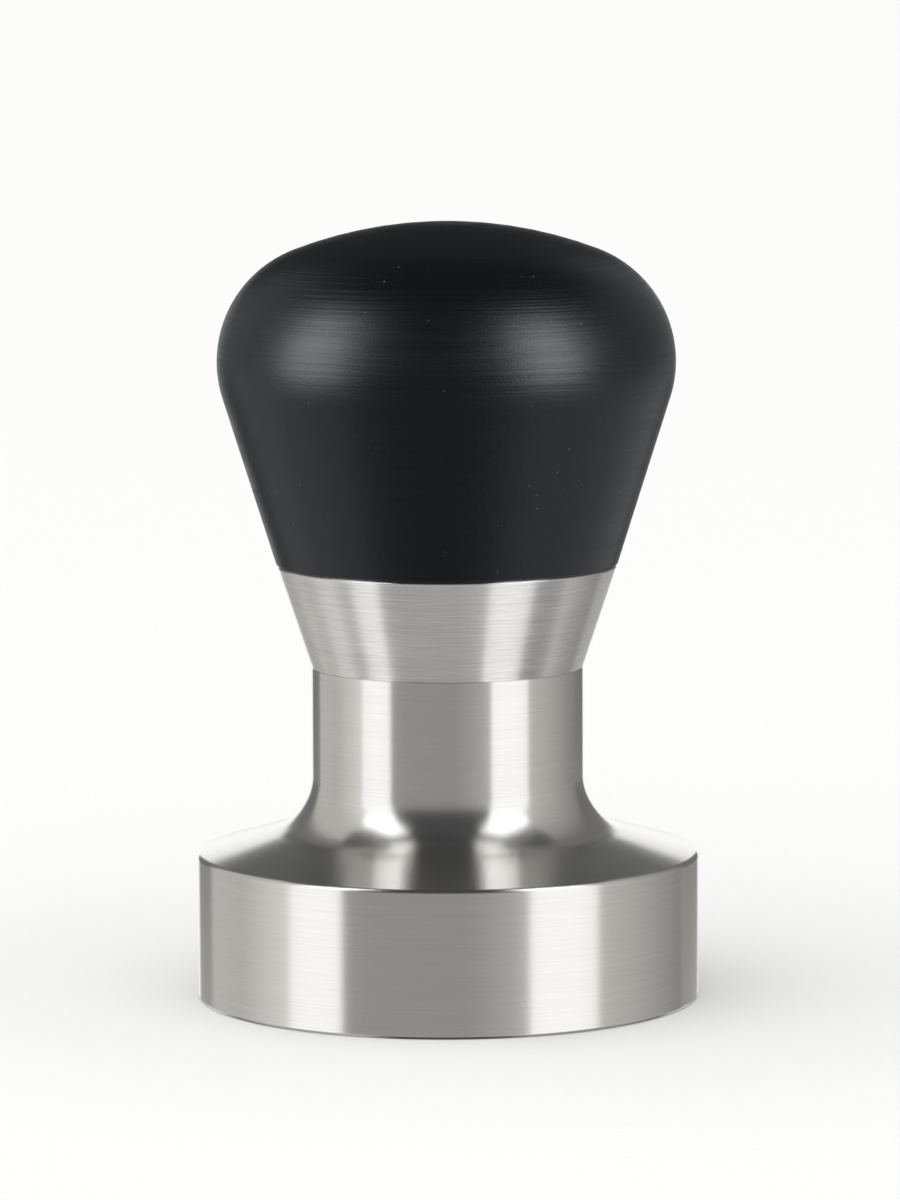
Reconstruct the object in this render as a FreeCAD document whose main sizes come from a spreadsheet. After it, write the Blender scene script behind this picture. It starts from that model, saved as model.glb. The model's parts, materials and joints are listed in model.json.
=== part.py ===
import FreeCAD, Part
import math
import os
import Sketcher
from FreeCAD import Rotation, Vector

# Espresso tamper. The origin is the centre of the tamping face, +Z runs up the axis to the grip,
# and every piece is turned about that axis. A steel base carries a grip assembly on a screw thread.

os.makedirs("parts", exist_ok=True)
doc = FreeCAD.newDocument("espresso_tamper")

# Driving sizes, in millimetres and degrees.
SIZES = {
    # Base: a disc that fits the filter basket, a sloping top, a flare and a straight neck.
    "base_diameter": 58.0,
    "rim_height": 16.8,
    "top_slope": 16.5,
    "rim_radius": 0.6,
    "face_chamfer": 0.3,
    "flare_radius": 6.6,
    "neck_diameter": 31.4,
    "neck_height": 38.4,
    # Register: the short spigot on the neck that centres the ferrule.
    "register_diameter": 18.0,
    "register_height": 3.0,
    "register_clearance": 0.05,
    "register_end_gap": 0.4,
    # Ferrule: the steel collar between the neck and the grip.
    "ferrule_length": 11.8,
    "ferrule_diameter": 39.3,
    "ferrule_bore_clearance": 0.5,
    "edge_chamfer": 0.2,
    # Sealing ring, squeezed flat in a groove in the ferrule's lower face.
    "ring_section": 1.8,
    "ring_groove_depth": 1.4,
    "ring_groove_width": 2.6,
    # Grip: a cone, a round shoulder and a domed crown, with a spigot that is glued into the ferrule.
    "grip_length": 39.5,
    "grip_cone_angle": 17.5,
    "shoulder_radius": 13.7,
    "crown_radius": 49.2,
    "spigot_diameter": 26.0,
    "spigot_length": 4.0,
    "spigot_end_gap": 0.2,
    "glue_gap": 0.05,
    # Brass insert in the grip.
    "insert_diameter": 16.0,
    "insert_length": 18.0,
    "insert_inset": 0.5,
    "insert_end_gap": 1.0,
    "insert_waist_width": 3.0,
    "insert_waist_depth": 0.8,
    "spline_width": 0.9,
    "spline_depth": 0.5,
    # Screw thread: metric, coarse, right-hand.
    "thread_diameter": 10.0,
    "thread_pitch": 1.5,
    "thread_play": 0.08,
    "stud_length": 30.0,
    "stud_reach": 12.0,
    "drill_depth": 17.0,
    "drill_point_angle": 118.0,
    "socket_width": 5.0,
    "socket_depth": 5.0,
}
SPLINE_COUNT = 16
HEXAGON_SIDES = 6
PITCH_AND_TURNS = 1  # the helix mode that is given its pitch and its number of turns
FULL_TURN = 360
ROUND_SHARE = 0.48   # of the pressed ring's height, just short of a full half-round side
SAME = 1e-4          # two sizes closer than this are the same

sizes = doc.addObject("Spreadsheet::Sheet", "Sizes")
for row, (alias, value) in enumerate(SIZES.items(), start=1):
    sizes.set(f"A{row}", alias)
    sizes.set(f"B{row}", str(value))
    sizes.setAlias(f"B{row}", alias)
doc.recompute()

# Radii and heights that more than one piece shares, as expressions of the sheet.
BASE_R = "Sizes.base_diameter / 2"
NECK_R = "Sizes.neck_diameter / 2"
NECK_TOP = "Sizes.neck_height"
REGISTER_R = "Sizes.register_diameter / 2"
REGISTER_TOP = "(Sizes.neck_height + Sizes.register_height)"
FERRULE_R = "Sizes.ferrule_diameter / 2"
FERRULE_TOP = "(Sizes.neck_height + Sizes.ferrule_length)"
RING_R = "(Sizes.register_diameter + Sizes.neck_diameter) / 4"
SPIGOT_R = "Sizes.spigot_diameter / 2"
SPIGOT_END = f"({FERRULE_TOP} - Sizes.spigot_length)"
INSERT_R = "Sizes.insert_diameter / 2"
INSERT_END = f"({SPIGOT_END} + Sizes.insert_inset)"
INSERT_TOP = f"({INSERT_END} + Sizes.insert_length)"
GRIP_TOP = f"({FERRULE_TOP} + Sizes.grip_length)"
STUD_END = f"({REGISTER_TOP} - Sizes.stud_reach)"
STUD_TOP = f"({STUD_END} + Sizes.stud_length)"

# Thread form, with depths and lengths as shares of a pitch. The stud's root lies under its crest, and
# the tapped holes are bored to a wider minor radius and cut a little past the stud's crest.
FLANK_ANGLE = 30
ROOT_DEPTH = 0.6134
TAP_DEPTH = 0.5
ROOT_FLAT = 0.125
OVERRUN = 1          # every groove runs on this far past the end of its thread
RIDGE_PHASE = 0.5    # the stud's ridge lies midway between two turns of its groove
CREST_R = "Sizes.thread_diameter / 2"
ROOT_R = f"(Sizes.thread_diameter / 2 - {ROOT_DEPTH} * Sizes.thread_pitch)"
TAP_R = f"(Sizes.thread_diameter / 2 - {TAP_DEPTH} * Sizes.thread_pitch)"
TAP_CREST_R = "(Sizes.thread_diameter / 2 + 2 * Sizes.thread_play)"

# Widths of the helical grooves at their two radii. A tapped hole's groove is the stud's ridge with
# play on both flanks.
FLANK = f"2 * tan({FLANK_ANGLE})"
STUD_ROOT_W = f"Sizes.thread_pitch * {ROOT_FLAT}"
STUD_CREST_W = f"({STUD_ROOT_W} + ({CREST_R} + Sizes.thread_play - {ROOT_R}) * {FLANK})"
RIDGE_FOOT_W = f"(Sizes.thread_pitch * (1 - {ROOT_FLAT}) + 2 * Sizes.thread_play)"
TAP_MOUTH_W = f"({RIDGE_FOOT_W} - ({TAP_R} - Sizes.thread_play - {ROOT_R}) * {FLANK})"
TAP_ROOT_W = f"({RIDGE_FOOT_W} - ({TAP_CREST_R} - {ROOT_R}) * {FLANK})"


def new_body(name):
    body = doc.addObject("PartDesign::Body", name)
    body.Label = name
    body.Placement = FreeCAD.Placement(Vector(0, 0, 0), Rotation())
    return body


def origin_item(body, role):
    return next(item for item in body.Origin.OriginFeatures if item.Role == role)


def new_sketch(body, name, role="XZ_Plane"):
    sketch = body.newObject("Sketcher::SketchObject", name)
    sketch.AttachmentSupport = [(origin_item(body, role), "")]
    sketch.MapMode = "FlatFace"
    return sketch


def drive(sketch, constraint, expression):
    """Add a dimension and tie it to an expression of the sheet."""
    index = sketch.addConstraint(constraint)
    sketch.setExpression(f"Constraints[{index}]", expression)


def place_corner(sketch, line, radius, height, guess=Vector(1, 1, 0)):
    """Dimension the start of a line from the axis and from the tamping face."""
    if radius == "0":
        sketch.addConstraint(Sketcher.Constraint("PointOnObject", line, 1, -2))
    else:
        drive(sketch, Sketcher.Constraint("DistanceX", -1, 1, line, 1, guess.x), radius)
    if height == "0":
        sketch.addConstraint(Sketcher.Constraint("PointOnObject", line, 1, -1))
    else:
        drive(sketch, Sketcher.Constraint("DistanceY", -1, 1, line, 1, guess.y), height)


def regular_polygon(centre, radius, count):
    return [centre + Vector(math.cos(math.tau * i / count), math.sin(math.tau * i / count), 0) * radius
            for i in range(count)]


def close_loop(sketch, points):
    """Draw a straight side from each point to the next, and join the sides end to end."""
    count = len(points)
    for i in range(count):
        sketch.addGeometry(Part.LineSegment(points[i], points[(i + 1) % count]), False)
    for i in range(count):
        sketch.addConstraint(Sketcher.Constraint("Coincident", i, 2, (i + 1) % count, 1))


def straight_outline(body, name, corners):
    """Closed outline of straight sides through (radius, height) corners, given as expressions."""
    sketch = new_sketch(body, name)
    close_loop(sketch, regular_polygon(Vector(2, 2, 0), 1, len(corners)))
    for i, (radius, height) in enumerate(corners):
        place_corner(sketch, i, radius, height)
    doc.recompute()
    return sketch


def revolve(body, name, sketch):
    feature = body.newObject("PartDesign::Revolution", name)
    feature.Profile = sketch
    feature.ReferenceAxis = (sketch, ["V_Axis"])
    feature.Angle = FULL_TURN
    doc.recompute()


def groove(body, name, sketch):
    before = body.Shape.Volume
    feature = body.newObject("PartDesign::Groove", name)
    feature.Profile = sketch
    feature.ReferenceAxis = (sketch, ["V_Axis"])
    feature.Angle = FULL_TURN
    doc.recompute()
    must_cut(body, name, before)


def must_cut(body, name, before):
    if body.Shape.Volume > before - SAME:
        raise RuntimeError(f"{name} cuts nothing")


def rings(shape):
    """The circles about the axis: each one's radius, height and edge name."""
    found = []
    for number, edge in enumerate(shape.Edges, start=1):
        if not edge.Degenerated and isinstance(edge.Curve, Part.Circle):
            found.append((edge.Curve.Radius, edge.Curve.Center.z, f"Edge{number}"))
    return found


def ring_edges(feature, diameter, pick):
    """Names of the circles of this diameter at the lowest (min) or highest (max) place."""
    same = [ring for ring in rings(feature.Shape) if abs(2 * ring[0] - diameter) < SAME]
    level = pick(height for _, height, _ in same)
    return [name for _, height, name in same if abs(height - level) < SAME]


def round_ring(body, name, diameter, pick, radius):
    base = body.Tip
    feature = body.newObject("PartDesign::Fillet", name)
    feature.Base = (base, ring_edges(base, diameter, pick))
    feature.setExpression("Radius", radius)
    doc.recompute()


def chamfer_ring(body, name, diameter, pick, size):
    base = body.Tip
    feature = body.newObject("PartDesign::Chamfer", name)
    feature.Base = (base, ring_edges(base, diameter, pick))
    feature.setExpression("Size", size)
    doc.recompute()


def cut_thread(body, name, inner, outer, inner_width, outer_width, start, turns):
    """Cut one helical groove. Its section is a trapezium centred on the height start."""
    sketch = new_sketch(body, f"{name}_section")
    close_loop(sketch, [Vector(1, 1, 0), Vector(2, 1, 0), Vector(2, 2, 0), Vector(1, 2, 0)])
    place_corner(sketch, 0, inner, f"{start} - ({inner_width}) / 2")
    place_corner(sketch, 1, outer, f"{start} - ({outer_width}) / 2")
    place_corner(sketch, 2, outer, f"{start} + ({outer_width}) / 2")
    place_corner(sketch, 3, inner, f"{start} + ({inner_width}) / 2")
    doc.recompute()
    before = body.Shape.Volume
    feature = body.newObject("PartDesign::SubtractiveHelix", name)
    feature.Profile = sketch
    feature.ReferenceAxis = (sketch, ["V_Axis"])
    feature.Mode = PITCH_AND_TURNS
    feature.setExpression("Pitch", "Sizes.thread_pitch")
    feature.setExpression("Turns", turns)
    feature.Angle = 0
    feature.LeftHanded = False
    feature.Reversed = False
    doc.recompute()
    must_cut(body, name, before)


def build_base():
    """Turned in one: disc, sloping top, flare, neck, register and the tapped hole for the stud."""
    body = new_body("base")
    neck_foot = f"Sizes.rim_height + ({BASE_R} - {NECK_R}) * tan(Sizes.top_slope)"
    drill_end = f"{REGISTER_TOP} - Sizes.drill_depth"
    outline = straight_outline(body, "base_outline", [
        ("0", "0"),
        (BASE_R, "0"),
        (BASE_R, "Sizes.rim_height"),
        (NECK_R, neck_foot),
        (NECK_R, NECK_TOP),
        (REGISTER_R, NECK_TOP),
        (REGISTER_R, REGISTER_TOP),
        (TAP_R, REGISTER_TOP),
        (TAP_R, drill_end),
        ("0", f"{drill_end} - {TAP_R} / tan(Sizes.drill_point_angle / 2)"),
    ])
    revolve(body, "base_turned", outline)
    round_ring(body, "flare", sizes.neck_diameter, min, "Sizes.flare_radius")
    round_ring(body, "rim", sizes.base_diameter, max, "Sizes.rim_radius")
    chamfer_ring(body, "face_edge", sizes.base_diameter, min, "Sizes.face_chamfer")
    chamfer_ring(body, "neck_edge", sizes.neck_diameter, max, "Sizes.edge_chamfer")
    chamfer_ring(body, "register_edge", sizes.register_diameter, max, "Sizes.edge_chamfer")
    cut_thread(body, "base_thread", TAP_R, TAP_CREST_R, TAP_MOUTH_W, TAP_ROOT_W,
               f"{STUD_END} - ({OVERRUN} + {RIDGE_PHASE}) * Sizes.thread_pitch",
               f"Sizes.stud_reach / Sizes.thread_pitch + 2 * {OVERRUN} + {RIDGE_PHASE}")
    return body


def build_ferrule():
    """Turned collar: register recess and ring groove below, spigot socket above, bore between."""
    body = new_body("ferrule")
    recess_r = f"({REGISTER_R} + Sizes.register_clearance)"
    recess_top = f"{REGISTER_TOP} + Sizes.register_end_gap"
    bore_r = f"({CREST_R} + Sizes.ferrule_bore_clearance)"
    socket_r = f"({SPIGOT_R} + Sizes.glue_gap)"
    socket_floor = f"{SPIGOT_END} - Sizes.spigot_end_gap"
    outline = straight_outline(body, "ferrule_outline", [
        (recess_r, NECK_TOP),
        (NECK_R, NECK_TOP),
        (FERRULE_R, FERRULE_TOP),
        (socket_r, FERRULE_TOP),
        (socket_r, socket_floor),
        (bore_r, socket_floor),
        (bore_r, recess_top),
        (recess_r, recess_top),
    ])
    revolve(body, "ferrule_turned", outline)
    chamfer_ring(body, "lower_edge", sizes.neck_diameter, min, "Sizes.edge_chamfer")
    chamfer_ring(body, "upper_edge", sizes.ferrule_diameter, max, "Sizes.edge_chamfer")
    inner = f"{RING_R} - Sizes.ring_groove_width / 2"
    outer = f"{RING_R} + Sizes.ring_groove_width / 2"
    floor = f"{NECK_TOP} + Sizes.ring_groove_depth"
    groove(body, "ring_groove", straight_outline(body, "ring_groove_outline", [
        (inner, NECK_TOP),
        (outer, NECK_TOP),
        (outer, floor),
        (inner, floor),
    ]))
    return body


def build_o_ring():
    """Rubber ring squeezed to the groove's depth: its section keeps its area and bulges sideways."""
    body = new_body("o_ring")
    height = "Sizes.ring_groove_depth"
    half_width = f"({height} + pi / 4 * (Sizes.ring_section ^ 2 - {height} ^ 2) / {height}) / 2"
    revolve(body, "ring_pressed", straight_outline(body, "ring_outline", [
        (f"{RING_R} - {half_width}", NECK_TOP),
        (f"{RING_R} + {half_width}", NECK_TOP),
        (f"{RING_R} + {half_width}", f"{NECK_TOP} + {height}"),
        (f"{RING_R} - {half_width}", f"{NECK_TOP} + {height}"),
    ]))
    pressed = body.Tip
    sides = body.newObject("PartDesign::Fillet", "bulging_sides")
    sides.Base = (pressed, [name for _, _, name in rings(pressed.Shape)])
    sides.setExpression("Radius", f"{ROUND_SHARE} * {height}")
    doc.recompute()
    return body


def grip_sketch(body):
    """Outside of the grip: cone, shoulder arc and crown arc, each tangent to the next."""
    lean = math.radians(sizes.grip_cone_angle)
    seat = sizes.neck_height + sizes.ferrule_length
    foot = Vector(sizes.ferrule_diameter / 2, seat, 0)
    top = Vector(0, seat + sizes.grip_length, 0)
    crown_centre = top - Vector(0, sizes.crown_radius, 0)
    # The shoulder's centre lies one shoulder radius inside the cone, and as far from the crown's
    # centre as the two radii differ.
    along = Vector(math.sin(lean), math.cos(lean), 0)
    inward = Vector(-math.cos(lean), math.sin(lean), 0)
    offset = foot + inward * sizes.shoulder_radius - crown_centre
    reach = sizes.crown_radius - sizes.shoulder_radius
    run = math.sqrt(offset.dot(along) ** 2 - offset.dot(offset) + reach ** 2) - offset.dot(along)
    shoulder_centre = crown_centre + offset + along * run
    crown_angle = math.atan2(shoulder_centre.y - crown_centre.y, shoulder_centre.x)
    up = Vector(0, 0, 1)
    shoulder_circle = Part.Circle(shoulder_centre, up, sizes.shoulder_radius)
    crown_circle = Part.Circle(crown_centre, up, sizes.crown_radius)

    sketch = new_sketch(body, "grip_outline")
    seat_centre = Vector(0, seat, 0)
    sketch.addGeometry(Part.LineSegment(seat_centre, foot), False)
    sketch.addGeometry(Part.LineSegment(foot, foot + along * run), False)
    sketch.addGeometry(Part.ArcOfCircle(shoulder_circle, -lean, crown_angle), False)
    sketch.addGeometry(Part.ArcOfCircle(crown_circle, crown_angle, math.pi / 2), False)
    sketch.addGeometry(Part.LineSegment(top, seat_centre), False)
    floor, cone, shoulder, crown, axis = range(5)
    sketch.addConstraint(Sketcher.Constraint("Coincident", floor, 2, cone, 1))
    sketch.addConstraint(Sketcher.Constraint("Tangent", cone, 2, shoulder, 1))
    sketch.addConstraint(Sketcher.Constraint("Tangent", shoulder, 2, crown, 1))
    sketch.addConstraint(Sketcher.Constraint("Coincident", crown, 2, axis, 1))
    sketch.addConstraint(Sketcher.Constraint("Coincident", axis, 2, floor, 1))
    sketch.addConstraint(Sketcher.Constraint("PointOnObject", crown, 3, -2))
    place_corner(sketch, floor, "0", FERRULE_TOP, seat_centre)
    place_corner(sketch, cone, FERRULE_R, FERRULE_TOP, foot)
    place_corner(sketch, axis, "0", GRIP_TOP, top)
    for arc, size in ((shoulder, "shoulder_radius"), (crown, "crown_radius")):
        drive(sketch, Sketcher.Constraint("Radius", arc, SIZES[size]), f"Sizes.{size}")
    rise = Sketcher.Constraint("Angle", cone, math.pi / 2 - lean)
    drive(sketch, rise, "(90 - Sizes.grip_cone_angle) * 1 deg")
    doc.recompute()
    return sketch


def build_grip():
    """Turned grip: the outside carries on from the ferrule; a spigot below, a bore for the insert."""
    body = new_body("grip")
    revolve(body, "grip_turned", grip_sketch(body))
    chamfer_ring(body, "foot_edge", sizes.ferrule_diameter, min, "Sizes.edge_chamfer")
    revolve(body, "spigot", straight_outline(body, "spigot_outline", [
        ("0", SPIGOT_END),
        (SPIGOT_R, SPIGOT_END),
        (SPIGOT_R, FERRULE_TOP),
        ("0", FERRULE_TOP),
    ]))
    chamfer_ring(body, "spigot_edge", sizes.spigot_diameter, min, "Sizes.edge_chamfer")
    bore_r = f"{INSERT_R} + Sizes.glue_gap"
    bore_top = f"{INSERT_TOP} + Sizes.insert_end_gap"
    groove(body, "insert_bore", straight_outline(body, "insert_bore_outline", [
        ("0", SPIGOT_END),
        (bore_r, SPIGOT_END),
        (bore_r, bore_top),
        ("0", bore_top),
    ]))
    return body


def build_insert():
    """Brass bush glued in the grip: splines and a waist hold it, and a thread runs through it."""
    body = new_body("threaded_insert")
    middle = f"({INSERT_END} + Sizes.insert_length / 2)"
    waist_r = f"{INSERT_R} - Sizes.insert_waist_depth"
    outline = straight_outline(body, "insert_outline", [
        (TAP_R, INSERT_END),
        (INSERT_R, INSERT_END),
        (INSERT_R, f"{middle} - Sizes.insert_waist_width / 2"),
        (waist_r, f"{middle} - Sizes.insert_waist_width / 2"),
        (waist_r, f"{middle} + Sizes.insert_waist_width / 2"),
        (INSERT_R, f"{middle} + Sizes.insert_waist_width / 2"),
        (INSERT_R, INSERT_TOP),
        (TAP_R, INSERT_TOP),
    ])
    revolve(body, "insert_turned", outline)
    spline = new_sketch(body, "spline_section", "XY_Plane")
    spline.setExpression("AttachmentOffset.Base.z", INSERT_END)
    close_loop(spline, [Vector(5, -1, 0), Vector(8, -1, 0), Vector(8, 1, 0), Vector(5, 1, 0)])
    inner, outer = f"{INSERT_R} - Sizes.spline_depth", f"{INSERT_R} + Sizes.spline_depth"
    half = "Sizes.spline_width / 2"
    place_corner(spline, 0, inner, f"-{half}")
    place_corner(spline, 1, outer, f"-{half}")
    place_corner(spline, 2, outer, half)
    place_corner(spline, 3, inner, half)
    doc.recompute()
    before = body.Shape.Volume
    slot = body.newObject("PartDesign::Pocket", "spline_slot")
    slot.Profile = spline
    slot.Reversed = True
    slot.setExpression("Length", "Sizes.insert_length")
    doc.recompute()
    must_cut(body, "spline_slot", before)
    splines = body.newObject("PartDesign::PolarPattern", "splines")
    splines.Originals = [slot]
    splines.Axis = (origin_item(body, "Z_Axis"), [""])
    splines.Angle = FULL_TURN
    splines.Occurrences = SPLINE_COUNT
    body.Tip = splines
    doc.recompute()
    whole_pitches = f"floor(({INSERT_END} - {STUD_END}) / Sizes.thread_pitch)"
    cut_thread(body, "insert_thread", TAP_R, TAP_CREST_R, TAP_MOUTH_W, TAP_ROOT_W,
               f"{STUD_END} + ({whole_pitches} - {RIDGE_PHASE}) * Sizes.thread_pitch",
               f"Sizes.insert_length / Sizes.thread_pitch + 2 * {OVERRUN} + {RIDGE_PHASE}")
    return body


def build_stud():
    """Set screw: threaded from end to end, with a hexagon socket in its lower end."""
    body = new_body("stud")
    bevel = f"({CREST_R} - {ROOT_R})"
    outline = straight_outline(body, "stud_outline", [
        ("0", STUD_END),
        (ROOT_R, STUD_END),
        (CREST_R, f"{STUD_END} + {bevel}"),
        (CREST_R, f"{STUD_TOP} - {bevel}"),
        (ROOT_R, STUD_TOP),
        ("0", STUD_TOP),
    ])
    revolve(body, "stud_turned", outline)
    cut_thread(body, "stud_thread", ROOT_R, f"({CREST_R} + Sizes.thread_play)", STUD_ROOT_W,
               STUD_CREST_W, f"{STUD_END} - {OVERRUN} * Sizes.thread_pitch",
               f"Sizes.stud_length / Sizes.thread_pitch + 2 * {OVERRUN}")
    hexagon = new_sketch(body, "socket_section", "XY_Plane")
    hexagon.setExpression("AttachmentOffset.Base.z", STUD_END)
    corner_r = sizes.socket_width / math.sqrt(3)
    centre = Vector(0, 0, 0)
    close_loop(hexagon, regular_polygon(centre, corner_r, HEXAGON_SIDES))
    circle = hexagon.addGeometry(Part.Circle(centre, Vector(0, 0, 1), corner_r), True)
    for side in range(HEXAGON_SIDES):
        hexagon.addConstraint(Sketcher.Constraint("PointOnObject", side, 1, circle))
    for side in range(1, HEXAGON_SIDES):
        hexagon.addConstraint(Sketcher.Constraint("Equal", 0, side))
    hexagon.addConstraint(Sketcher.Constraint("Coincident", circle, 3, -1, 1))
    hexagon.addConstraint(Sketcher.Constraint("PointOnObject", 0, 1, -1))
    drive(hexagon, Sketcher.Constraint("Radius", circle, corner_r), "Sizes.socket_width / sqrt(3)")
    doc.recompute()
    before = body.Shape.Volume
    socket = body.newObject("PartDesign::Pocket", "socket")
    socket.Profile = hexagon
    socket.Reversed = True
    socket.setExpression("Length", "Sizes.socket_depth")
    doc.recompute()
    must_cut(body, "socket", before)
    return body


pieces = [
    build_base(),
    build_ferrule(),
    build_o_ring(),
    build_grip(),
    build_insert(),
    build_stud(),
]
doc.recompute()

for item in doc.Objects:
    if "Invalid" in item.State or "Error" in item.State:
        raise RuntimeError(f"{item.Name} failed: {item.State}")
for body in pieces:
    if body.Shape.isNull() or not body.Shape.isValid() or len(body.Shape.Solids) != 1:
        raise RuntimeError(f"{body.Label} is not one valid solid")
for body in pieces:
    body.Shape.exportStep(f"parts/{body.Label}.step")
    print(body.Label, round(body.Shape.Volume, 1))
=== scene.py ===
import json
import math

import bmesh
import bpy
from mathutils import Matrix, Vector


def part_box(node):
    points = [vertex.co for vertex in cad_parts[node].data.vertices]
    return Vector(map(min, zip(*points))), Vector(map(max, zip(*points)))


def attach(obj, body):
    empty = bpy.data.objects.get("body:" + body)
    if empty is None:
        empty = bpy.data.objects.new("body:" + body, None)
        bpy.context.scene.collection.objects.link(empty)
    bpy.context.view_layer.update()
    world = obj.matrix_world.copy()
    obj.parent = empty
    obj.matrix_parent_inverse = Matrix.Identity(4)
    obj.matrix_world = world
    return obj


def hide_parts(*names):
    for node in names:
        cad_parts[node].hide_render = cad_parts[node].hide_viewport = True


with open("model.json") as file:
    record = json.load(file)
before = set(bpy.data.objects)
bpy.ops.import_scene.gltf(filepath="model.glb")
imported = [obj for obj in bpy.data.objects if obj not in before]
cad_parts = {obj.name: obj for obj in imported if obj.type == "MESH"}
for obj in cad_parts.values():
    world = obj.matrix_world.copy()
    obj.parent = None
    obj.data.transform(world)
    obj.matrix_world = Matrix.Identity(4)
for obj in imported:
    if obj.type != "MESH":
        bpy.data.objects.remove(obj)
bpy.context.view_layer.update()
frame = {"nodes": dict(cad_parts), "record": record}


# ---------------------------------------------------------------- the base
# A stainless bar turned in one chucking: the tamping disc, its sloping top, the flare, the straight
# neck and the register on top, bored for the stud. It is polished along the lathe's own lines, so
# light spreads up and down the piece but stays sharp from side to side.

MM = 0.001
TURN_STEPS = 256
DEGREES_PER_STEP = 3
LEAST_STEPS = 3
MERGE_DISTANCE = 0.0001 * MM
SHARP_ANGLE = math.radians(35)

MOUNTS = {mount["name"]: mount for mount in frame["record"]["mounts"]}
BASE_RADIUS = MOUNTS["basket_fit"]["dims"]["r_mm"] * MM
NECK_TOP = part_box("ferrule")[0].z
REGISTER_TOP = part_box("base")[1].z
NECK_RADIUS = 15.7 * MM
TOP_SLOPE = math.radians(16.5)
RIM_HEIGHT = 16.8 * MM
FLARE_RADIUS = 6.6 * MM
RIM_RADIUS = 0.6 * MM
FACE_CHAMFER = 0.3 * MM
EDGE_CHAMFER = 0.2 * MM
EDGE_SOFTNESS = 0.06 * MM
CREASE_CHAMFER = 0.05 * MM
REGISTER_RADIUS = 9.0 * MM
BORE_RADIUS = 5.16 * MM
BORE_DEPTH = 17.0 * MM
DRILL_POINT = 3.0 * MM

# Noise mostly stays between these two values.
NOISE_LOW = 0.3
NOISE_HIGH = 0.7
LINE_DETAIL = 3.0
LINE_ROUGHNESS = 0.6
COARSE_DETAIL = 2.0
# Brushing is drawn at three sizes. The spacing and the streaks here are times those of the fine lines.
SHORT_SPACING = 0.8
SHORT_STREAKS = 5.0
SHORT_SHARE = 0.45
BROAD_SPACING = 9.0
BROAD_STREAKS = 0.4
BROAD_SHARE = 0.35
GLOSS_SWING = 0.06
WEAR_SCALE = 55.0
WEAR_LOW = -0.01
WEAR_HIGH = 0.015
BLUR_ACROSS_LINES = 0.25


def turn(name, corners, closed=False, arcs=()):
    """Turn an outline about the axis. A corner is its radius, its height and how far it is rounded;
    the arcs carry on from the last corner, each about a centre and through an angle."""
    bm = bmesh.new()
    places = [Vector((radius, 0, height)) for radius, height, _ in corners]
    points = [bm.verts.new(place) for place in places]
    for start, end in zip(points, points[1:]):
        bm.edges.new((start, end))
    if closed:
        bm.edges.new((points[-1], points[0]))
    last = points[-1]
    for centre, angle in arcs:
        steps = round(math.degrees(angle) / DEGREES_PER_STEP)
        swept = bmesh.ops.spin(bm, geom=[last], cent=centre, axis=(0, -1, 0), angle=angle, steps=steps,
                               use_merge=False)
        last = swept["geom_last"][0]
    for i, (_, _, rounding) in enumerate(corners):
        if rounding:
            before = places[i - 1] - places[i]
            after = places[(i + 1) % len(places)] - places[i]
            inside = before.angle(after)
            steps = max(LEAST_STEPS, round(math.degrees(math.pi - inside) / DEGREES_PER_STEP))
            bmesh.ops.bevel(bm, geom=[points[i]], offset=rounding / math.tan(inside / 2),
                            offset_type="OFFSET", segments=steps, profile=0.5, affect="VERTICES",
                            material=-1)
    bmesh.ops.spin(bm, geom=bm.verts[:] + bm.edges[:], cent=(0, 0, 0), axis=(0, 0, 1),
                   angle=2 * math.pi, steps=TURN_STEPS, use_merge=True)
    bmesh.ops.remove_doubles(bm, verts=bm.verts[:], dist=MERGE_DISTANCE)
    bmesh.ops.recalc_face_normals(bm, faces=bm.faces[:])
    for face in bm.faces:
        face.smooth = True
    mesh = bpy.data.meshes.new(name)
    bm.to_mesh(mesh)
    bm.free()
    mesh.set_sharp_from_angle(angle=SHARP_ANGLE)
    piece = bpy.data.objects.new(name, mesh)
    bpy.context.scene.collection.objects.link(piece)
    shading = piece.modifiers.new("flat_faces_stay_flat", "WEIGHTED_NORMAL")
    shading.keep_sharp = True
    return piece


def stand_for(piece, cad_node, body, material):
    """Let a finished piece take the place of its CAD node."""
    piece.data.materials.append(material)
    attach(piece, body)
    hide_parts(cad_node)


def node(tree, kind, inputs=None, **settings):
    """Add a shader node. An input given as a socket is linked, and any other value is set."""
    made = tree.nodes.new(kind)
    for name, value in settings.items():
        setattr(made, name, value)
    for key, value in (inputs or {}).items():
        if isinstance(value, bpy.types.NodeSocket):
            tree.links.new(value, made.inputs[key])
        else:
            made.inputs[key].default_value = value
    return made


def maths(tree, operation, first, second):
    return node(tree, "ShaderNodeMath", {0: first, 1: second}, operation=operation).outputs[0]


def weighed(tree, first, first_weight, second, second_weight):
    """The sum of two values, each times its weight."""
    first_part = maths(tree, "MULTIPLY", first, first_weight)
    second_part = maths(tree, "MULTIPLY", second, second_weight)
    return maths(tree, "ADD", first_part, second_part)


def noise(tree, place, scale, detail, roughness=0.5):
    return node(tree, "ShaderNodeTexNoise", {"Vector": place, "Scale": scale, "Detail": detail,
                                             "Roughness": roughness}).outputs["Fac"]


def stretch(tree, value, low, high, source=(NOISE_LOW, NOISE_HIGH)):
    """Stretch a value from its source range, which is a noise's unless another is given."""
    return node(tree, "ShaderNodeMapRange", {"Value": value, "From Min": source[0], "From Max": source[1],
                                             "To Min": low, "To Max": high}).outputs["Result"]


def blend(tree, share, first, second):
    """Mix two colours. A share of 0 gives all of the first, and 1 all of the second."""
    mixed = node(tree, "ShaderNodeMix", {"Factor": share, "A": (*first, 1), "B": (*second, 1)},
                 data_type="RGBA")
    return mixed.outputs["Result"]


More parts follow.
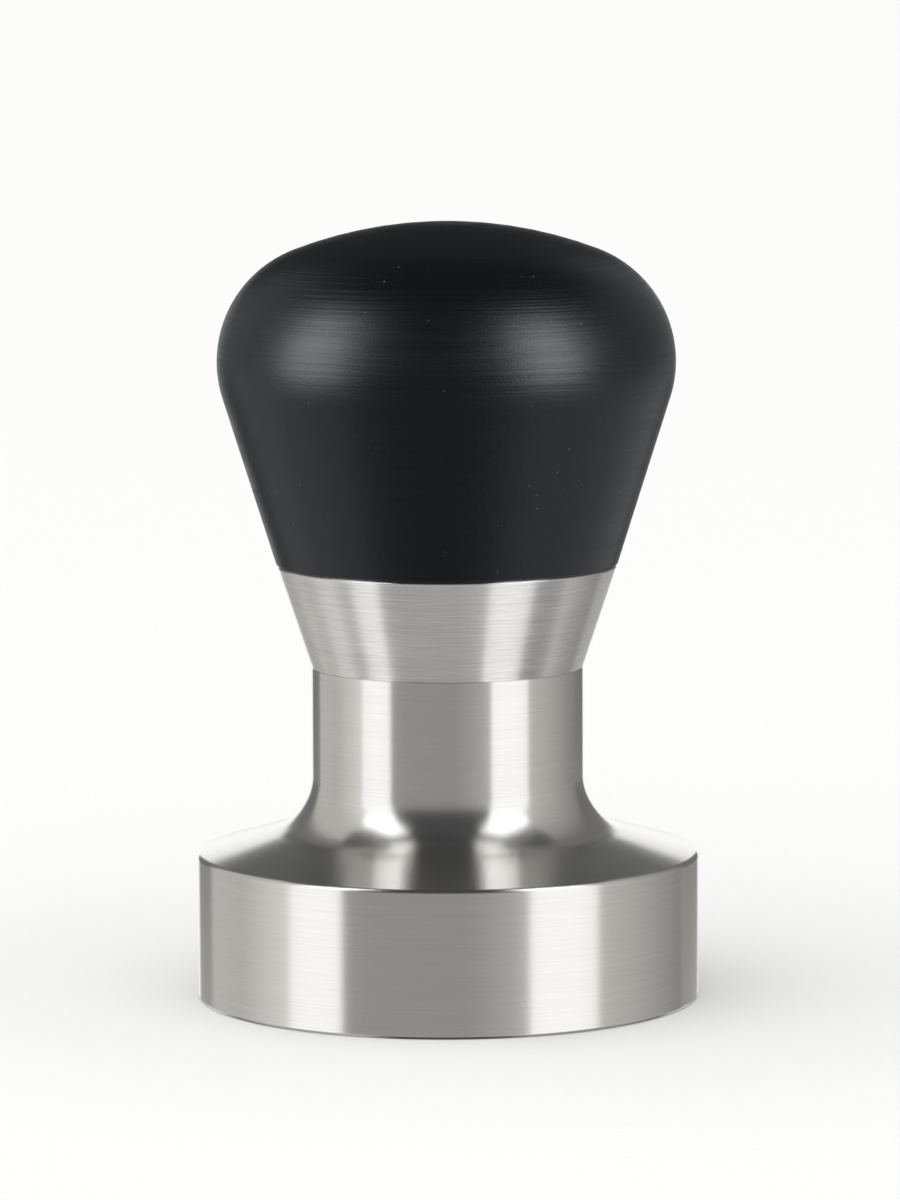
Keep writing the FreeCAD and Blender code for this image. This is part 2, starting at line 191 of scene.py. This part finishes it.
def emboss(tree, skin, height, depth, strength=1.0):
    """Give a finish its relief. The depth is how far a height of 1 stands out."""
    bump = node(tree, "ShaderNodeBump", {"Height": height, "Strength": strength, "Distance": depth})
    tree.links.new(bump.outputs["Normal"], skin.inputs["Normal"])


def new_finish(name):
    material = bpy.data.materials.new(name)
    material.use_nodes = True
    tree = material.node_tree
    return material, tree, tree.nodes["Principled BSDF"]


def lathe_place(tree):
    """Where a point is to the lathe tool: the direction it turns past, and the run along the outline."""
    place = node(tree, "ShaderNodeTexCoord").outputs["Object"]
    flat = node(tree, "ShaderNodeVectorMath", {0: place, 1: (1, 1, 0)}, operation="MULTIPLY").outputs[0]
    radius = node(tree, "ShaderNodeVectorMath", {0: flat}, operation="LENGTH").outputs["Value"]
    around = node(tree, "ShaderNodeVectorMath", {0: flat}, operation="NORMALIZE").outputs[0]
    height = node(tree, "ShaderNodeSeparateXYZ", {0: place}).outputs["Z"]
    return place, around, maths(tree, "SUBTRACT", height, radius)


def tool_lines(tree, around, along, spacing, streaks, detail=LINE_DETAIL):
    """Fine lines round the piece, this far apart. The more streaks, the shorter each line is."""
    stacked = node(tree, "ShaderNodeCombineXYZ", {"Z": maths(tree, "DIVIDE", along, spacing)}).outputs[0]
    turned = node(tree, "ShaderNodeVectorMath", {0: around, "Scale": streaks}, operation="SCALE").outputs[0]
    place = node(tree, "ShaderNodeVectorMath", {0: turned, 1: stacked}, operation="ADD").outputs[0]
    return noise(tree, place, 1.0, detail, LINE_ROUGHNESS)


def turned_steel(name, colour, roughness, brushing, spacing, streaks, groove, contrast):
    """Stainless steel with circular brushing: lines in the colour, the gloss and the relief."""
    material, tree, skin = new_finish(name)
    place, around, along = lathe_place(tree)
    fine = tool_lines(tree, around, along, spacing, streaks)
    short = tool_lines(tree, around, along, SHORT_SPACING * spacing, SHORT_STREAKS * streaks, COARSE_DETAIL)
    broad = tool_lines(tree, around, along, BROAD_SPACING * spacing, BROAD_STREAKS * streaks, COARSE_DETAIL)
    lines = weighed(tree, fine, 1 - BROAD_SHARE, broad, BROAD_SHARE)
    marks = weighed(tree, lines, 1 - SHORT_SHARE, short, SHORT_SHARE)
    dark = [value * (1 - contrast) for value in colour]
    tree.links.new(blend(tree, stretch(tree, marks, 0, 1), dark, colour), skin.inputs["Base Color"])
    lined = stretch(tree, marks, roughness * (1 - GLOSS_SWING), roughness * (1 + GLOSS_SWING))
    worn = stretch(tree, noise(tree, place, WEAR_SCALE, LINE_DETAIL), WEAR_LOW, WEAR_HIGH)
    tree.links.new(maths(tree, "ADD", lined, worn), skin.inputs["Roughness"])
    emboss(tree, skin, lines, groove)
    # The tangent runs round the piece, so reflections stay sharp from side to side.
    turning = node(tree, "ShaderNodeVectorMath", {0: (0, 0, 1), 1: around}, operation="CROSS_PRODUCT")
    in_world = node(tree, "ShaderNodeVectorTransform", {0: turning.outputs[0]}, vector_type="VECTOR",
                    convert_from="OBJECT", convert_to="WORLD")
    tree.links.new(in_world.outputs[0], skin.inputs["Tangent"])
    skin.inputs["Metallic"].default_value = 1.0
    skin.inputs["Anisotropic"].default_value = brushing
    skin.inputs["Anisotropic Rotation"].default_value = BLUR_ACROSS_LINES
    return material


neck_foot = RIM_HEIGHT + (BASE_RADIUS - NECK_RADIUS) * math.tan(TOP_SLOPE)
drill_end = REGISTER_TOP - BORE_DEPTH
base = turn("turned_base", [
    (0, 0, 0),
    (BASE_RADIUS - FACE_CHAMFER, 0, EDGE_SOFTNESS),
    (BASE_RADIUS, FACE_CHAMFER, EDGE_SOFTNESS),
    (BASE_RADIUS, RIM_HEIGHT, RIM_RADIUS),
    (NECK_RADIUS, neck_foot, FLARE_RADIUS),
    (NECK_RADIUS, NECK_TOP - CREASE_CHAMFER, 0),
    (NECK_RADIUS - CREASE_CHAMFER, NECK_TOP, 0),
    (REGISTER_RADIUS, NECK_TOP, 0),
    (REGISTER_RADIUS, REGISTER_TOP - EDGE_CHAMFER, EDGE_SOFTNESS),
    (REGISTER_RADIUS - EDGE_CHAMFER, REGISTER_TOP, EDGE_SOFTNESS),
    (BORE_RADIUS + EDGE_CHAMFER, REGISTER_TOP, 0),
    (BORE_RADIUS, REGISTER_TOP - EDGE_CHAMFER, 0),
    (BORE_RADIUS, drill_end, 0),
    (0, drill_end - DRILL_POINT, 0),
])
base_steel = turned_steel("polished_turned_steel", (0.76, 0.75, 0.73), roughness=0.22, brushing=0.90,
                          spacing=0.11 * MM, streaks=0.8, groove=0.0012 * MM, contrast=0.12)
stand_for(base, "base", "base", base_steel)


# ---------------------------------------------------------------- the sealing ring
# A nitrile rubber ring that sits in the ferrule's lower face and is squeezed flat on the neck. It
# keeps water out of the thread. It is moulded, so it is matt, with a faint grain.

ring_low, ring_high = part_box("o_ring")
RING_HEIGHT = ring_high.z - ring_low.z
RING_MIDDLE = (REGISTER_RADIUS + NECK_RADIUS) / 2
RING_OUTSIDE = ring_high.x
RING_INSIDE = 2 * RING_MIDDLE - RING_OUTSIDE
RING_ROUNDING = 0.48 * RING_HEIGHT
RUBBER_BLACK = (0.012, 0.012, 0.012)
RUBBER_GREY = (0.03, 0.03, 0.029)
RUBBER_CLOUD_SCALE = 300.0
RUBBER_SMOOTHEST = 0.55
RUBBER_ROUGHEST = 0.75
RUBBER_GRAIN_SCALE = 9000.0
RUBBER_GRAIN_DETAIL = 4.0
RUBBER_GRAIN_DEPTH = 0.01 * MM
RUBBER_GRAIN_STRENGTH = 0.6


def moulded_rubber():
    material, tree, skin = new_finish("nitrile_rubber")
    place = node(tree, "ShaderNodeTexCoord").outputs["Object"]
    cloudy = noise(tree, place, RUBBER_CLOUD_SCALE, COARSE_DETAIL)
    tree.links.new(blend(tree, cloudy, RUBBER_BLACK, RUBBER_GREY), skin.inputs["Base Color"])
    tree.links.new(stretch(tree, cloudy, RUBBER_SMOOTHEST, RUBBER_ROUGHEST), skin.inputs["Roughness"])
    grain = noise(tree, place, RUBBER_GRAIN_SCALE, RUBBER_GRAIN_DETAIL)
    emboss(tree, skin, grain, RUBBER_GRAIN_DEPTH, RUBBER_GRAIN_STRENGTH)
    return material


ring = turn("sealing_ring", [
    (RING_INSIDE, ring_low.z, RING_ROUNDING),
    (RING_OUTSIDE, ring_low.z, RING_ROUNDING),
    (RING_OUTSIDE, ring_high.z, RING_ROUNDING),
    (RING_INSIDE, ring_high.z, RING_ROUNDING),
], closed=True)
stand_for(ring, "o_ring", "seal", moulded_rubber())


# ---------------------------------------------------------------- the ferrule
# A stainless collar turned as a cone, recessed below for the register and the ring and above for the
# grip's spigot. It is brushed with coarser paper than the base, so its lines show and its
# reflections are softer.

FERRULE_RADIUS = 19.65 * MM
FERRULE_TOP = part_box("ferrule")[1].z
SPIGOT_RADIUS = 13.0 * MM
SPIGOT_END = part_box("grip")[0].z
GLUE_GAP = 0.05 * MM
SPIGOT_END_GAP = 0.2 * MM
REGISTER_CLEARANCE = 0.05 * MM
REGISTER_END_GAP = 0.4 * MM
FERRULE_BORE = 5.5 * MM
RING_GROOVE_HALF = 1.3 * MM

recess_radius = REGISTER_RADIUS + REGISTER_CLEARANCE
recess_top = REGISTER_TOP + REGISTER_END_GAP
socket_radius = SPIGOT_RADIUS + GLUE_GAP
socket_floor = SPIGOT_END - SPIGOT_END_GAP
cone_lean = math.atan((FERRULE_RADIUS - NECK_RADIUS) / (FERRULE_TOP - NECK_TOP))
crease_out = CREASE_CHAMFER * math.sin(cone_lean)
crease_up = CREASE_CHAMFER * math.cos(cone_lean)
edge_in = EDGE_CHAMFER * math.sin(cone_lean)
edge_down = EDGE_CHAMFER * math.cos(cone_lean)
ferrule = turn("brushed_ferrule", [
    (recess_radius, NECK_TOP, 0),
    (RING_MIDDLE - RING_GROOVE_HALF, NECK_TOP, 0),
    (RING_MIDDLE - RING_GROOVE_HALF, ring_high.z, 0),
    (RING_MIDDLE + RING_GROOVE_HALF, ring_high.z, 0),
    (RING_MIDDLE + RING_GROOVE_HALF, NECK_TOP, 0),
    (NECK_RADIUS - CREASE_CHAMFER, NECK_TOP, 0),
    (NECK_RADIUS + crease_out, NECK_TOP + crease_up, 0),
    (FERRULE_RADIUS - edge_in, FERRULE_TOP - edge_down, EDGE_SOFTNESS),
    (FERRULE_RADIUS - EDGE_CHAMFER, FERRULE_TOP, EDGE_SOFTNESS),
    (socket_radius, FERRULE_TOP, 0),
    (socket_radius, socket_floor, 0),
    (FERRULE_BORE, socket_floor, 0),
    (FERRULE_BORE, recess_top, 0),
    (recess_radius, recess_top, 0),
], closed=True)
ferrule_steel = turned_steel("brushed_ferrule_steel", (0.82, 0.81, 0.79), roughness=0.21, brushing=0.93,
                             spacing=0.13 * MM, streaks=0.9, groove=0.004 * MM, contrast=0.26)
stand_for(ferrule, "ferrule", "handle", ferrule_steel)


# ---------------------------------------------------------------- the stud and its insert
# A stainless set screw, threaded from end to end with a hexagon socket, is glued into a brass bush
# in the grip. Both keep their CAD shapes, threads and all, and get a rolled and a machined finish.

CUT_SPACING = 0.07 * MM
CUT_STREAKS = 3.0
CUT_DEPTH = 0.003 * MM
STAIN_SCALE = 350.0
STAIN_DETAIL = 4.0
STAIN_DULLING = 1.5


def machined(name, colour, roughness, stain):
    """A plain machined metal: fine cutting marks and a cloudy stain that dulls it in patches."""
    material, tree, skin = new_finish(name)
    place, around, along = lathe_place(tree)
    cloudy = noise(tree, place, STAIN_SCALE, STAIN_DETAIL)
    stained = [value * stain for value in colour]
    tree.links.new(blend(tree, stretch(tree, cloudy, 0, 1), colour, stained), skin.inputs["Base Color"])
    tree.links.new(stretch(tree, cloudy, roughness, roughness * STAIN_DULLING), skin.inputs["Roughness"])
    emboss(tree, skin, tool_lines(tree, around, along, CUT_SPACING, CUT_STREAKS), CUT_DEPTH)
    skin.inputs["Metallic"].default_value = 1.0
    return material


def refinish(name, material):
    """Give a CAD node that keeps its shape a better material."""
    piece = frame["nodes"][name]
    piece.data.materials.clear()
    piece.data.materials.append(material)


stud_steel = machined("rolled_stud_steel", (0.60, 0.60, 0.59), roughness=0.26, stain=0.75)
refinish("stud", stud_steel)
insert_brass = machined("machined_brass", (0.80, 0.58, 0.27), roughness=0.24, stain=0.7)
refinish("threaded_insert", insert_brass)


# ---------------------------------------------------------------- the grip
# Black acetal turned as a cone that carries on from the ferrule, a round shoulder for the palm and a
# domed crown. The tool leaves fine rings, plainest over the shoulder, and the skin is a soft satin.

GRIP_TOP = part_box("grip")[1].z
GRIP_LEAN = math.radians(17.5)
SHOULDER_RADIUS = 13.7 * MM
CROWN_RADIUS = 49.2 * MM
INSERT_BORE = 8.05 * MM
INSERT_END_GAP = 1.0 * MM
ACETAL_BLACK = (0.0010, 0.0011, 0.0015)
ACETAL_SMOOTHEST = 0.32
ACETAL_ROUGHEST = 0.42
ACETAL_IOR = 1.48
FINE_RING_SPACING = 0.14 * MM
FINE_RING_STREAKS = 0.5
BROAD_RING_SPACING = 0.55 * MM
BROAD_RING_STREAKS = 0.4
BROAD_RING_SHARE = 0.7
RING_DEPTH = 0.06 * MM
# Up to the first height the rings have this share of their depth, and from the second all of it.
CONE_RING_SHARE = 0.35
RINGS_DEEPEN = (GRIP_TOP - 24 * MM, GRIP_TOP - 10 * MM)
GRAIN_SCALE = 3500.0
GRAIN_SHARE = 0.22
LINT_GREY = (0.09, 0.09, 0.09)
LINT_SCALE = 700.0
LINT_EDGE = (0.05, 0.10)
LINT_PATCH_SCALE = 420.0
LINT_PATCH_DETAIL = 1.0
LINT_PATCH_EDGE = (0.50, 0.66)

bore_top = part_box("threaded_insert")[1].z + INSERT_END_GAP
foot = Vector((FERRULE_RADIUS, 0, FERRULE_TOP))
crown_centre = Vector((0, 0, GRIP_TOP - CROWN_RADIUS))
up_cone = Vector((math.sin(GRIP_LEAN), 0, math.cos(GRIP_LEAN)))
into_cone = Vector((-math.cos(GRIP_LEAN), 0, math.sin(GRIP_LEAN)))
# The shoulder's centre is one shoulder radius inside the cone, and inside the crown by the same.
offset = foot + into_cone * SHOULDER_RADIUS - crown_centre
reach = CROWN_RADIUS - SHOULDER_RADIUS
run = math.sqrt(offset.dot(up_cone) ** 2 - offset.length_squared + reach ** 2) - offset.dot(up_cone)
shoulder_centre = crown_centre + offset + up_cone * run
cone_end = foot + up_cone * run
from_crown = shoulder_centre - crown_centre
crown_start = math.atan2(from_crown.z, from_crown.x)
foot_out = EDGE_CHAMFER * math.sin(GRIP_LEAN)
foot_up = EDGE_CHAMFER * math.cos(GRIP_LEAN)


def turned_acetal():
    """Black acetal: tool rings in the gloss and the relief, a fine grain and a few specks of lint."""
    material, tree, skin = new_finish("turned_black_acetal")
    place, around, along = lathe_place(tree)
    fine = tool_lines(tree, around, along, FINE_RING_SPACING, FINE_RING_STREAKS)
    broad = tool_lines(tree, around, along, BROAD_RING_SPACING, BROAD_RING_STREAKS)
    rings = weighed(tree, fine, 1 - BROAD_RING_SHARE, broad, BROAD_RING_SHARE)
    points = node(tree, "ShaderNodeTexVoronoi", {"Vector": place, "Scale": LINT_SCALE}).outputs["Distance"]
    specks = stretch(tree, points, 1, 0, LINT_EDGE)
    patches = stretch(tree, noise(tree, place, LINT_PATCH_SCALE, LINT_PATCH_DETAIL), 0, 1, LINT_PATCH_EDGE)
    lint = maths(tree, "MULTIPLY", specks, patches)
    tree.links.new(blend(tree, lint, ACETAL_BLACK, LINT_GREY), skin.inputs["Base Color"])
    tree.links.new(stretch(tree, rings, ACETAL_SMOOTHEST, ACETAL_ROUGHEST), skin.inputs["Roughness"])
    height = node(tree, "ShaderNodeSeparateXYZ", {0: place}).outputs["Z"]
    ridges = maths(tree, "MULTIPLY", rings, stretch(tree, height, CONE_RING_SHARE, 1, RINGS_DEEPEN))
    grain = noise(tree, place, GRAIN_SCALE, COARSE_DETAIL)
    emboss(tree, skin, weighed(tree, ridges, 1, grain, GRAIN_SHARE), RING_DEPTH)
    skin.inputs["IOR"].default_value = ACETAL_IOR
    return material


grip = turn("turned_grip", [
    (0, bore_top, 0),
    (INSERT_BORE, bore_top, 0),
    (INSERT_BORE, SPIGOT_END, 0),
    (SPIGOT_RADIUS - EDGE_CHAMFER, SPIGOT_END, 0),
    (SPIGOT_RADIUS, SPIGOT_END + EDGE_CHAMFER, 0),
    (SPIGOT_RADIUS, FERRULE_TOP, 0),
    (FERRULE_RADIUS - EDGE_CHAMFER, FERRULE_TOP, EDGE_SOFTNESS),
    (FERRULE_RADIUS + foot_out, FERRULE_TOP + foot_up, EDGE_SOFTNESS),
    (cone_end.x, cone_end.z, 0),
], arcs=[
    (shoulder_centre, GRIP_LEAN + crown_start),
    (crown_centre, math.pi / 2 - crown_start),
])
stand_for(grip, "grip", "handle", turned_acetal())


# ---------------------------------------------------------------- the studio
# A pale floor, a soft light from above, and rings of curved panels that only reflections see. Steel
# and acetal have a ring each, because black acetal gives back so little that it needs its own.

FLOOR_HALF = 30.0
FLOOR_DROP = 0.02 * MM
FLOOR_GREY = (0.80, 0.80, 0.79)
FLOOR_WHITE = (0.84, 0.84, 0.83)
FLOOR_GRAIN_SCALE = 900.0
FLOOR_ROUGHNESS = 0.7
FLOOR_SHINE = 0.1
BACKDROP = (0.99, 0.99, 0.985, 1)
ROOM_TINT = (0.95, 0.97, 1.0, 1)
ROOM_STRENGTH = 0.07
SUN_STRENGTH = 3.85
SUN_SPREAD = math.radians(110)
SUN_TILT = (math.radians(12), math.radians(-8), 0)
PANEL_STEP = 3
STEEL_DISTANCE = 1.5
GRIP_DISTANCE = 1.4
WHITE = (1, 1, 1)
WARM = (1.0, 0.978, 0.935)
COOL = (0.90, 0.95, 1.0)
BELOW = (-72, -25)
LEVEL = (-25, 38)
HIGH = (38, 66)
FRONT = (-25, 26)
BACK = (-25, 18)
WALL = (-25, 50)
CORNER = (-9, 50)
CORNER_BELOW = (-30, -9)
GRIP_SOFTBOX = (-4, 45)
GRIP_BELOW = (-72, -4)


def panel(name, azimuths, elevations, glows, tint, distance, seen_by):
    """A glowing curved panel. Azimuths are degrees from the camera's side, positive to the right,
    elevations are degrees above level, and the glow runs evenly from one end's value to the other's."""
    turned = math.radians(azimuths[1] - azimuths[0])
    start = Vector((math.sin(math.radians(azimuths[0])), -math.cos(math.radians(azimuths[0])), 0))
    bm = bmesh.new()
    heights = [distance * math.tan(math.radians(elevation)) for elevation in elevations]
    ends = [bm.verts.new(start * distance + Vector((0, 0, height))) for height in heights]
    edge = bm.edges.new(ends)
    bmesh.ops.spin(bm, geom=[*ends, edge], cent=(0, 0, 0), axis=(0, 0, 1), angle=turned,
                   steps=round(math.degrees(turned) / PANEL_STEP), use_merge=False)
    glow_layer = bm.verts.layers.float.new("glow")
    for vert in bm.verts:
        share = start.angle(Vector((vert.co.x, vert.co.y, 0))) / turned
        vert[glow_layer] = glows[0] + (glows[1] - glows[0]) * share
    mesh = bpy.data.meshes.new(name)
    bm.to_mesh(mesh)
    bm.free()
    material = bpy.data.materials.new(name)
    material.use_nodes = True
    tree = material.node_tree
    tree.nodes.remove(tree.nodes["Principled BSDF"])
    strength = node(tree, "ShaderNodeAttribute", attribute_name="glow").outputs["Fac"]
    glow = node(tree, "ShaderNodeEmission", {"Color": (*tint, 1), "Strength": strength})
    through = node(tree, "ShaderNodeBsdfTransparent")
    both = node(tree, "ShaderNodeAddShader", {0: glow.outputs[0], 1: through.outputs[0]})
    tree.links.new(both.outputs[0], tree.nodes["Material Output"].inputs["Surface"])
    mesh.materials.append(material)
    made = bpy.data.objects.new(name, mesh)
    bpy.context.scene.collection.objects.link(made)
    made.visible_camera = False
    made.visible_diffuse = False
    made.visible_shadow = False
    made.light_linking.receiver_collection = seen_by


steel_side = bpy.data.collections.new("steel_side")
for piece in (base, ring, ferrule, frame["nodes"]["stud"], frame["nodes"]["threaded_insert"]):
    steel_side.objects.link(piece)
for name, azimuths, elevations, glows, tint in (
    ("left_softbox", (-77, -49), LEVEL, (1.27, 1.27), WHITE),
    ("left_softbox_top", (-84, -50), HIGH, (2.1, 2.1), WHITE),
    ("left_softbox_below", (-77, -55), BELOW, (1.02, 1.02), WHITE),
    ("right_softbox", (37, 72), LEVEL, (1.27, 1.27), WHITE),
    ("right_softbox_top", (40, 80), HIGH, (2.1, 2.1), WHITE),
    ("right_softbox_below", (34, 70), BELOW, (1.08, 1.08), WHITE),
    ("front_card", (-49, 8), FRONT, (0.31, 0.30), WARM),
    ("front_card_right", (8, 37), FRONT, (0.30, 0.48), WARM),
    ("front_below", (-55, 10), BELOW, (0.42, 0.43), WHITE),
    ("front_below_right", (10, 34), BELOW, (0.43, 0.52), WHITE),
    ("left_wall", (-105, -77), WALL, (0.54, 0.84), WARM),
    ("left_wall_far", (-138, -105), WALL, (0.55, 0.52), WARM),
    ("left_corner", (-163, -138), CORNER, (0.10, 0.13), WARM),
    ("left_corner_below", (-163, -138), CORNER_BELOW, (0.42, 0.44), WARM),
    ("left_below_near", (-92, -77), BELOW, (0.46, 0.42), WHITE),
    ("left_below", (-113, -92), BELOW, (0.80, 0.70), WHITE),
    ("left_below_far", (-150, -113), BELOW, (0.45, 0.62), WHITE),
    ("right_wall", (72, 136), WALL, (0.60, 0.20), WARM),
    ("right_corner", (136, 166), CORNER, (0.12, 0.12), WARM),
    ("right_corner_below", (136, 166), CORNER_BELOW, (0.42, 0.46), WARM),
    ("right_below_near", (70, 97), BELOW, (0.22, 0.28), WHITE),
    ("right_below", (97, 112), BELOW, (0.56, 0.50), WHITE),
    ("right_below_far", (112, 150), BELOW, (0.42, 0.32), WHITE),
    ("back_sheet", (166, 197), BACK, (1.05, 1.05), WHITE),
):
    panel(name, azimuths, elevations, glows, tint, STEEL_DISTANCE, steel_side)

grip_side = bpy.data.collections.new("grip_side")
grip_side.objects.link(grip)
for name, azimuths, elevations, glows in (
    ("grip_left_softbox", (-86, -53), GRIP_SOFTBOX, (6.3, 6.3)),
    ("grip_right_softbox", (39, 68), GRIP_SOFTBOX, (7.0, 7.0)),
    ("grip_front", (-54, 42), FRONT, (0.12, 0.12)),
    ("grip_front_below", (-55, 36), BELOW, (0.18, 0.18)),
    ("grip_left_below", (-135, -55), GRIP_BELOW, (0.62, 0.62)),
    ("grip_right_below", (36, 150), GRIP_BELOW, (0.60, 0.55)),
    ("grip_left_wall", (-150, -86), (-4, 50), (0.35, 0.40)),
    ("grip_right_wall", (70, 164), (-4, 42), (0.22, 0.30)),
    ("grip_back", (164, 204), (-25, 10), (0.95, 0.95)),
):
    panel(name, azimuths, elevations, glows, COOL, GRIP_DISTANCE, grip_side)


def pale_floor():
    material, tree, skin = new_finish("pale_floor")
    place = node(tree, "ShaderNodeTexCoord").outputs["Object"]
    grain = noise(tree, place, FLOOR_GRAIN_SCALE, LINE_DETAIL)
    tree.links.new(blend(tree, grain, FLOOR_GREY, FLOOR_WHITE), skin.inputs["Base Color"])
    skin.inputs["Roughness"].default_value = FLOOR_ROUGHNESS
    skin.inputs["Specular IOR Level"].default_value = FLOOR_SHINE
    return material


bm = bmesh.new()
bmesh.ops.create_grid(bm, x_segments=2, y_segments=2, size=FLOOR_HALF)
bmesh.ops.translate(bm, verts=bm.verts[:], vec=(0, 0, -FLOOR_DROP))
floor_mesh = bpy.data.meshes.new("floor")
bm.to_mesh(floor_mesh)
bm.free()
floor_mesh.materials.append(pale_floor())
floor = bpy.data.objects.new("floor", floor_mesh)
bpy.context.scene.collection.objects.link(floor)
floor.visible_glossy = False

sky = bpy.context.scene.world or bpy.data.worlds.new("studio")
bpy.context.scene.world = sky
sky.use_nodes = True
tree = sky.node_tree
room = node(tree, "ShaderNodeBackground", {"Color": ROOM_TINT, "Strength": ROOM_STRENGTH})
backdrop = node(tree, "ShaderNodeBackground", {"Color": BACKDROP, "Strength": 1.0})
seen = node(tree, "ShaderNodeLightPath").outputs["Is Camera Ray"]
either = node(tree, "ShaderNodeMixShader", {0: seen, 1: room.outputs[0], 2: backdrop.outputs[0]})
tree.links.new(either.outputs[0], tree.nodes["World Output"].inputs["Surface"])

overhead = bpy.data.lights.new("overhead_soft_light", "SUN")
overhead.energy = SUN_STRENGTH
overhead.angle = SUN_SPREAD
overhead_object = bpy.data.objects.new("overhead_soft_light", overhead)
overhead_object.rotation_euler = SUN_TILT
bpy.context.scene.collection.objects.link(overhead_object)
overhead_object.visible_glossy = False

# The camera stands 686 mm in front of the axis and looks slightly down with a long lens.
CAMERA_DISTANCE = 0.6864
CAMERA_HEIGHT = 0.1261
CAMERA_PITCH = math.radians(6.6545)
CAMERA_ROLL = math.radians(0.2)
CAMERA_LENS = 179.6
CAMERA_SENSOR = 36.0
CAMERA_SHIFT = 0.0044
CAMERA_SIGHT = 100.0
camera_data = bpy.data.cameras.new("camera")
camera_data.lens = CAMERA_LENS
camera_data.sensor_width = CAMERA_SENSOR
camera_data.shift_x = CAMERA_SHIFT
camera_data.clip_end = CAMERA_SIGHT
camera = bpy.data.objects.new("camera", camera_data)
camera.location = (0, -CAMERA_DISTANCE, CAMERA_HEIGHT)
camera.rotation_euler = (math.pi / 2 - CAMERA_PITCH, CAMERA_ROLL, 0)
bpy.context.scene.collection.objects.link(camera)
bpy.context.scene.camera = camera
bpy.context.scene.view_settings.view_transform = "Standard"
